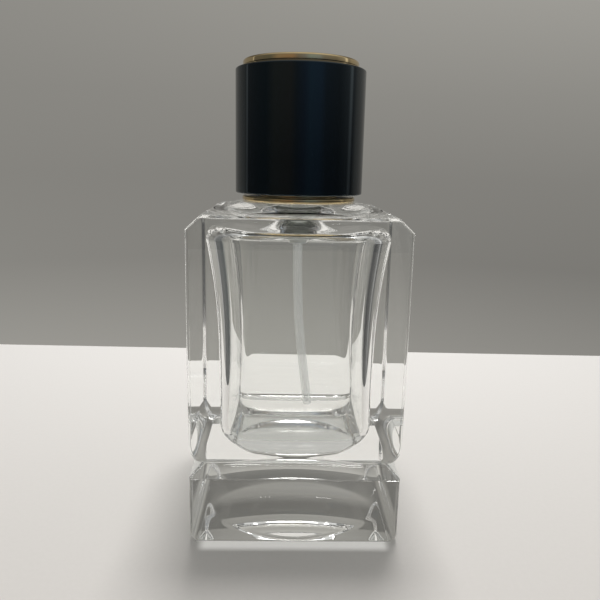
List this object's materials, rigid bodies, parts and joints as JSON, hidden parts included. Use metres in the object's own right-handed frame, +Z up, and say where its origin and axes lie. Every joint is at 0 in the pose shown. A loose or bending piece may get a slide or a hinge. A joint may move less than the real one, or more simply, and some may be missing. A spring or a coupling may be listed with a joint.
{
  "type": "square glass spray bottle with round cap",
  "caption": "Thick square glass aftershave bottle on a solid grooved foot, with a crimped spray pump, a gold stepped collar and a pull-off gloss black cap.",
  "frame": {"origin": "centre of the base, on the surface the bottle stands on", "axes": "+Z up along the pump's axis, -Y the front face and the way the spray leaves, +X to the right seen from the front"},
  "size_m": [0.0474, 0.0474, 0.1076],
  "materials": {
    "clear_glass": "clear polished flint glass",
    "gloss_black": "polished black moulding",
    "gold_metal": "gold anodised aluminium",
    "bare_aluminium": "plain drawn aluminium",
    "white_plastic": "white moulded plastic",
    "natural_plastic": "unpigmented moulded plastic",
    "tube_plastic": "translucent extruded tube",
    "black_plastic": "black moulded plastic",
    "soft_rubber": "pale soft rubber",
    "spring_steel": "bright stainless steel"
  },
  "bodies": {
    "bottle": {"glass_bottle": "clear_glass", "neck_gasket": "soft_rubber", "pump_housing": "natural_plastic", "pump_bushing": "white_plastic", "stem_gasket": "soft_rubber", "crimp_ferrule": "bare_aluminium", "return_spring": "spring_steel", "dip_tube": "tube_plastic", "collar_insert": "white_plastic", "collar": "gold_metal"},
    "stem": {"pump_stem": "white_plastic"},
    "piston": {"piston": "natural_plastic"},
    "spray_button": {"actuator_button": "black_plastic", "actuator_shell": "gold_metal", "nozzle_insert": "black_plastic"},
    "inlet_ball": {"check_ball": "spring_steel"},
    "cap": {"cap_shell": "gloss_black", "cap_ring": "gold_metal", "cap_disc": "gloss_black", "cap_liner": "white_plastic"}
  },
  "joints": [
    {"name": "cap_lift", "type": "slide", "parent": "bottle", "child": "cap", "axis": [0, 0, 1], "range_m": [0, 0.035]},
    {"name": "stem_press", "type": "slide", "parent": "bottle", "child": "stem", "axis": [0, 0, -1], "range_m": [0, 0.0036], "stiffness_N_per_m": 1200, "springref_m": -0.002, "deforming": ["return_spring"]},
    {"name": "piston_slip", "type": "slide", "parent": "stem", "child": "piston", "axis": [0, 0, 1], "range_m": [0, 0.00045]},
    {"name": "button_turn", "type": "hinge", "parent": "stem", "child": "spray_button", "pos_m": [0, 0, 0.0964], "axis": [0, 0, 1], "continuous": true},
    {"name": "inlet_ball_lift", "type": "slide", "parent": "bottle", "child": "inlet_ball", "axis": [0, 0, 1], "range_m": [0, 0.0005]}
  ],
  "couplings": [
    {"joint": "piston_slip", "follows": "stem_press", "ratio": 0.1111}
  ]
}
